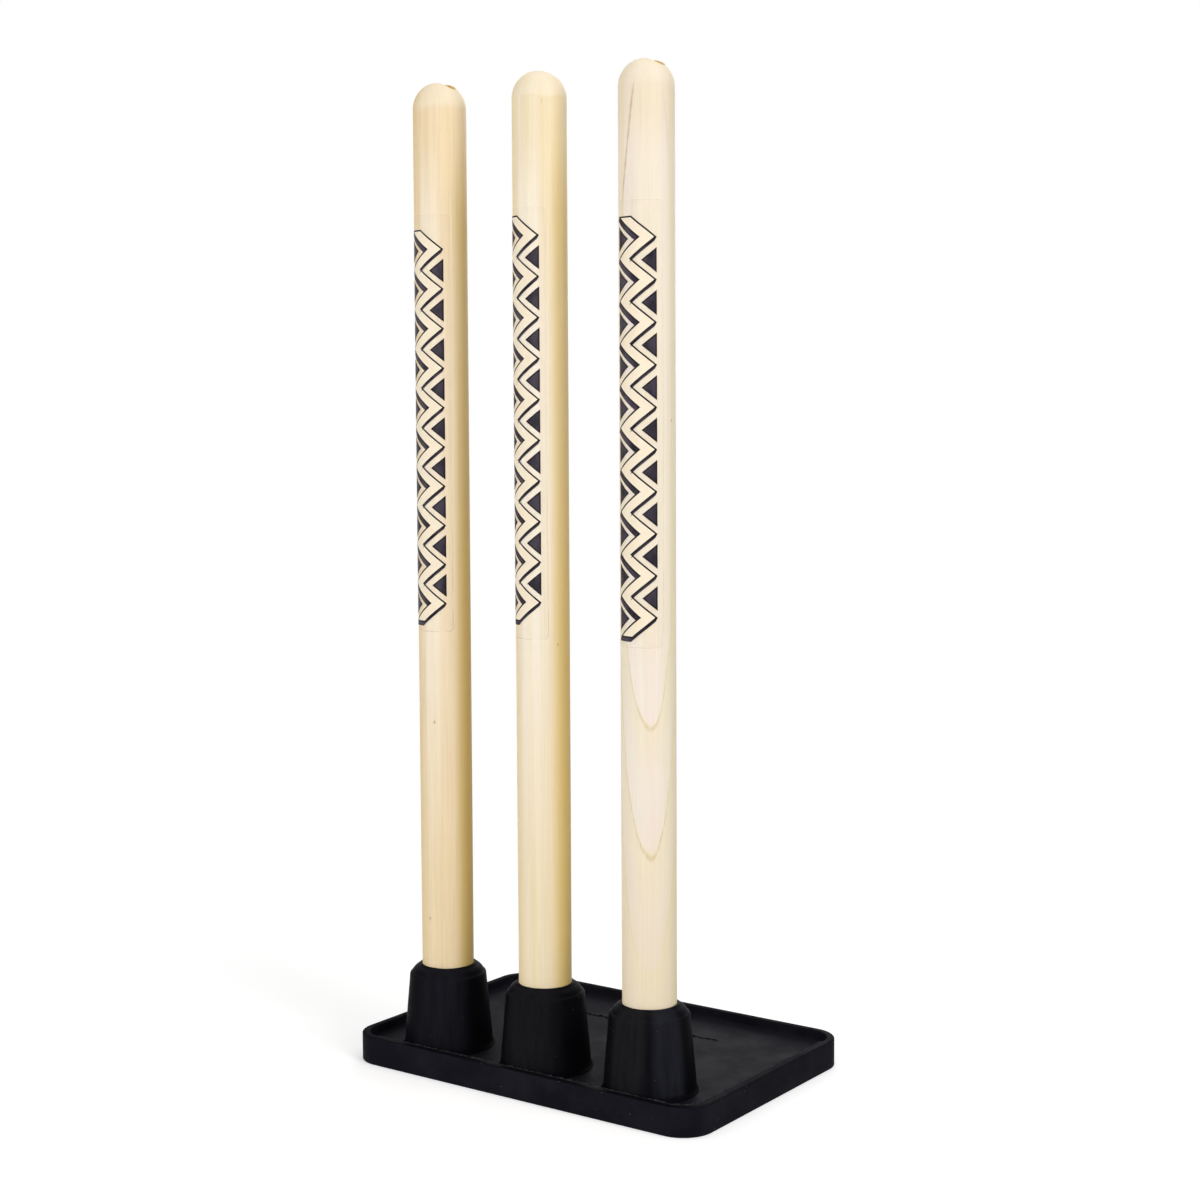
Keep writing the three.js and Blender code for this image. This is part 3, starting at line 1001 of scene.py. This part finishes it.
def laidOnStump(pattern, name, side, lift, offset, thickness):
    piece = placedCopy(pattern, name, side, label["turn"][side], lift)
    applied(piece, "SHRINKWRAP", target=stumps[side], wrap_method="NEAREST_SURFACEPOINT",
            wrap_mode="OUTSIDE_SURFACE", offset=offset)
    applied(piece, "SOLIDIFY", thickness=thickness, offset=1.0)
    smoothed(piece, 40)
    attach(piece, side + "_stump_body")
    return piece


def uprightPlane(name, width, tall, middle=0.0, materials=()):
    bpy.ops.mesh.primitive_plane_add(size=1, location=(0, 0, middle), rotation=(math.pi / 2, 0, 0))
    piece = bpy.context.object
    piece.scale = (width, tall, 1)
    for material in materials:
        piece.data.materials.append(material)
    return freeze(piece, name)


def makeFilmPattern():
    middle = label["bottom"] + label["height"] / 2
    piece = uprightPlane("filmPattern", label["width"], label["height"], middle)
    startEdit(piece)
    pickAll()
    bpy.ops.mesh.bevel(offset=label["corner"], segments=6, affect="VERTICES")
    endEdit()
    cutUpright(piece, label["width"], label["cutStep"])
    return bendRound(piece, stumpRadiusAt(middle) + label["gap"])


def isShaded(edge):
    if not edge.is_boundary:
        return False
    along = (edge.verts[1].co - edge.verts[0].co).normalized()
    outward = (edge.verts[0].co + edge.verts[1].co) / 2 - edge.link_faces[0].calc_center_median()
    outward -= along * outward.dot(along)
    return outward.dot(Vector(printing["shade"])) > 0


# The zigzag ribbon: one arm, then its top edge extruded to and fro, outlined and block-shaded
def makeRibbon(materials):
    rise = printing["armRise"]
    reach = printing["width"] - printing["armWidth"]
    piece = uprightPlane("printPattern", printing["armWidth"], rise, materials=materials)
    startEdit(piece)
    pickAll()
    bpy.ops.transform.translate(value=(-reach / 2, 0, rise / 2))
    pick("EDGE", lambda edge: level(edge, rise))
    bpy.ops.transform.translate(value=(reach, 0, 0))
    for arm in range(1, printing["arms"]):
        across = reach if arm % 2 == 0 else -reach
        bpy.ops.mesh.extrude_edges_move(TRANSFORM_OT_translate={"value": (across, 0, rise)})
    bpy.ops.mesh.select_mode(type="FACE")
    pickAll()
    bpy.ops.mesh.normals_make_consistent(inside=False)
    paintPicked(piece, 0)
    bpy.ops.mesh.inset(thickness=printing["outline"])
    paintPicked(piece, 1)
    pick("EDGE", isShaded)
    bpy.ops.mesh.extrude_edges_move(TRANSFORM_OT_translate={"value": printing["shade"]})
    shape = bmesh.from_edit_mesh(piece.data)
    added = set(vert for vert in shape.verts if vert.select)
    pick("FACE", lambda face: any(vert in added for vert in face.verts))
    paintPicked(piece, 2)
    endEdit()
    return piece


# The dark wedges in the ribbon's gaps on one side
def makeWedges(sign, materials):
    rise = printing["armRise"]
    piece = uprightPlane("wedges", printing["wedgeWidth"], printing["wedgeHeight"], materials=materials)
    startEdit(piece)
    pick("VERT", lambda vert: sign * vert.co.x < 0)
    bpy.ops.mesh.merge(type="CENTER")
    bpy.ops.mesh.select_mode(type="FACE")
    pickAll()
    paintPicked(piece, 0)
    bpy.ops.mesh.inset(thickness=printing["wedgeOutline"])
    paintPicked(piece, 2)
    endEdit()
    first = 2 * rise if sign > 0 else rise
    count = printing["arms"] // 2 - (1 if sign > 0 else 0)
    edge = (printing["width"] - printing["wedgeWidth"]) / 2
    piece.location = (sign * edge, 0, first - printing["wedgeDrop"])
    freeze(piece, "wedges")
    applied(piece, "ARRAY", count=count, use_relative_offset=False,
            use_constant_offset=True, constant_offset_displace=(0, 0, 2 * rise))
    return piece


def makePrintPattern(materials):
    ribbon = makeRibbon(materials)
    wedges = [makeWedges(1, materials), makeWedges(-1, materials)]
    onlyThis(ribbon)
    for piece in wedges:
        piece.select_set(True)
    bpy.ops.object.join()
    cutUpright(ribbon, printing["width"] - 2 * printing["shade"][0], printing["cutStep"])
    ribbon.location = (0, 0, printing["foot"])
    freeze(ribbon, "printPattern")
    return bendRound(ribbon, stumpRadiusAt(printing["foot"]) + label["gap"] + label["thickness"])


def makeFilm():
    material, tree, shader, place = startMaterial("labelFilm")
    uv = tree.nodes.new("ShaderNodeUVMap").outputs[0]
    size = (label["width"], label["height"], 0)
    centred = vectorCalc(tree, "MULTIPLY", vectorCalc(tree, "SUBTRACT", uv, (0.5, 0.5, 0)), size)
    inner = tuple(max(s / 2 - label["corner"], 0) for s in size)
    outside = vectorCalc(tree, "SUBTRACT", vectorCalc(tree, "ABSOLUTE", centred), inner)
    fromEdge = vectorCalc(tree, "LENGTH", vectorCalc(tree, "MAXIMUM", outside, (0, 0, 0)))
    corner, line = label["corner"], label["edgeWidth"]
    edge = ramped(tree, fromEdge, corner - 1.6 * line, corner - 0.4 * line)
    patches = ramped(tree, noise(tree, place, (120, 120, 60), 2.0), 0.35, 0.7)
    edge = times(tree, edge, patches)
    uvHeight = addNode(tree, "ShaderNodeSeparateXYZ", {0: uv}).outputs["Y"]
    edge = times(tree, edge, ramped(tree, uvHeight, 0.0, 0.5, 1.0, label["upperEdges"]))
    creases = noise(tree, place, (160, 160, 30), 2.0)
    fill(tree, shader, {
        "Base Color": blended(tree, edge, label["filmColour"], label["edgeColour"]),
        "Alpha": ramped(tree, edge, 0.0, 1.0, label["filmAlpha"], label["edgeAlpha"], smooth=False),
        "Roughness": ramped(tree, creases, 0.3, 0.7, 0.22, 0.34),
        "Normal": bumped(tree, creases, label["relief"]),
    })
    return material


def makeInk(name, colour, other):
    material, tree, shader, place = startMaterial(name)
    patches = noise(tree, place, (90, 90, 55), 3.0)
    grains = noise(tree, place, 1500.0, 1.0)
    fill(tree, shader, {
        "Base Color": blended(tree, ramped(tree, patches, 0.35, 0.7), colour, other),
        "Roughness": ramped(tree, grains, 0.2, 0.8, 0.34, 0.46),
        "Specular IOR Level": printing["gloss"],
        "Normal": bumped(tree, grains, printing["relief"]),
    })
    return material


filmMaterial = makeFilm()
inkMaterials = [
    makeInk("blackInk", printing["ink"], printing["inkSheen"]),
    makeInk("paleInk", printing["fillInk"], printing["fillEdge"]),
    makeInk("shadeInk", printing["shadeInk"], printing["inkSheen"]),
]
filmPattern = makeFilmPattern()
printPattern = makePrintPattern(inkMaterials)
for side in sides:
    film = laidOnStump(filmPattern, side + "Film", side, 0.0, label["gap"], label["thickness"])
    film.data.materials.append(filmMaterial)
    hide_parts(side + "_label")
    laidOnStump(printPattern, side + "Print", side, printing["lift"][side],
                label["gap"] + label["thickness"] + printing["inkLift"], printing["inkThickness"])
removePiece(filmPattern)
removePiece(printPattern)
print("labels laid")

# Floor, backdrop and lights
studio = {
    "floorSize": 60.0,
    "floorDrop": 0.05 * mm,
    "floorColour": (0.80, 0.80, 0.80, 1),
    "floorGlow": 0.42,
    "whiteFrom": 0.30,
    "whiteTo": 0.85,
    "worldLight": (1.0, 1.0, 1.0, 1),
    "worldStrength": 0.15,
}


def seenShare(tree):
    path = tree.nodes.new("ShaderNodeLightPath").outputs
    share = calc(tree, "ADD", path["Is Camera Ray"], path["Is Glossy Ray"], clamp=True)
    return calc(tree, "ADD", share, path["Is Transmission Ray"], clamp=True)


def makeFloor():
    bpy.ops.mesh.primitive_plane_add(size=studio["floorSize"], location=(0, 0, -studio["floorDrop"]))
    floor = freeze(bpy.context.object, "studioFloor")
    material = bpy.data.materials.new("studioFloor")
    material.use_nodes = True
    tree = material.node_tree
    tree.nodes.clear()
    place = tree.nodes.new("ShaderNodeTexCoord").outputs["Object"]
    seen = seenShare(tree)
    matt = addNode(tree, "ShaderNodeBsdfDiffuse", {"Color": studio["floorColour"]})
    glow = addNode(tree, "ShaderNodeEmission", {"Strength": times(tree, seen, studio["floorGlow"])})
    lit = addNode(tree, "ShaderNodeAddShader", {0: matt.outputs[0], 1: glow.outputs[0]})
    white = addNode(tree, "ShaderNodeEmission", {"Color": (1, 1, 1, 1), "Strength": 1.0})
    far = ramped(tree, vectorCalc(tree, "LENGTH", place), studio["whiteFrom"], studio["whiteTo"])
    share = times(tree, far, seen)
    both = addNode(tree, "ShaderNodeMixShader", {0: share, 1: lit.outputs[0], 2: white.outputs[0]})
    addNode(tree, "ShaderNodeOutputMaterial", {"Surface": both.outputs[0]})
    floor.data.materials.append(material)


def makeWorld():
    world = bpy.data.worlds.new("studioWorld")
    bpy.context.scene.world = world
    world.use_nodes = True
    tree = world.node_tree
    tree.nodes.clear()
    light = addNode(tree, "ShaderNodeBackground", {
        "Color": studio["worldLight"], "Strength": studio["worldStrength"],
    })
    white = addNode(tree, "ShaderNodeBackground", {"Color": (1, 1, 1, 1), "Strength": 1.0})
    seen = seenShare(tree)
    both = addNode(tree, "ShaderNodeMixShader", {0: seen, 1: light.outputs[0], 2: white.outputs[0]})
    addNode(tree, "ShaderNodeOutputWorld", {"Surface": both.outputs[0]})


lamps = {
    "softKey": {"place": (0.75, -2.85, 0.62), "wide": 1.5, "tall": 1.1, "watts": 34},
    "softSide": {"place": (2.70, -0.85, 1.25), "wide": 1.0, "tall": 1.4, "watts": 24.5},
    "softHigh": {"place": (1.30, -0.10, 2.50), "wide": 1.0, "tall": 1.4, "watts": 22},
    "softFill": {"place": (-2.30, -1.70, 0.75), "wide": 1.2, "tall": 1.4, "watts": 24},
    "softTop": {"place": (-0.3, 0.5, 2.6), "wide": 1.6, "tall": 1.6, "watts": 12},
    "softRear": {"place": (-1.2, 2.6, 1.4), "wide": 1.6, "tall": 1.6, "watts": 20},
}


def makeLamps():
    target = Vector((0, -0.03, 0.33))
    for name, lamp in lamps.items():
        bpy.ops.object.light_add(type="AREA", location=lamp["place"])
        light = bpy.context.object
        light.name = name
        light.data.shape = "RECTANGLE"
        light.data.size = lamp["wide"]
        light.data.size_y = lamp["tall"]
        light.data.energy = lamp["watts"]
        light.rotation_euler = (target - Vector(lamp["place"])).to_track_quat("-Z", "Y").to_euler()


# Camera: turned to the right of the labelled side, fitted to the photograph's edges
photoCamera = {
    "azimuth": 35.72,
    "lookDown": 3.94,
    "roll": -0.292,
    "focalShare": 2071.7 / 1200,
    "rise": -60 / 1200,
    "distance": 1.44418,
    "aside": 0.04034,
    "height": 0.48670,
}


def makeCamera():
    azimuth = photoCamera["azimuth"]
    place = stumpAxis["middle"] + towards(azimuth) * photoCamera["distance"]
    place += towards(azimuth + 90) * photoCamera["aside"]
    place.z = photoCamera["height"]
    bpy.ops.object.camera_add(location=place)
    camera = bpy.context.object
    turn = Matrix.Rotation(math.radians(azimuth), 3, "Z")
    turn = turn @ Matrix.Rotation(math.radians(90 - photoCamera["lookDown"]), 3, "X")
    turn = turn @ Matrix.Rotation(math.radians(photoCamera["roll"]), 3, "Z")
    camera.rotation_euler = turn.to_euler()
    camera.data.sensor_width = 36
    camera.data.lens = photoCamera["focalShare"] * camera.data.sensor_width
    camera.data.shift_y = photoCamera["rise"]
    bpy.context.scene.camera = camera


makeFloor()
makeWorld()
makeLamps()
makeCamera()
bpy.context.scene.view_settings.view_transform = "Standard"
print("studio lit")
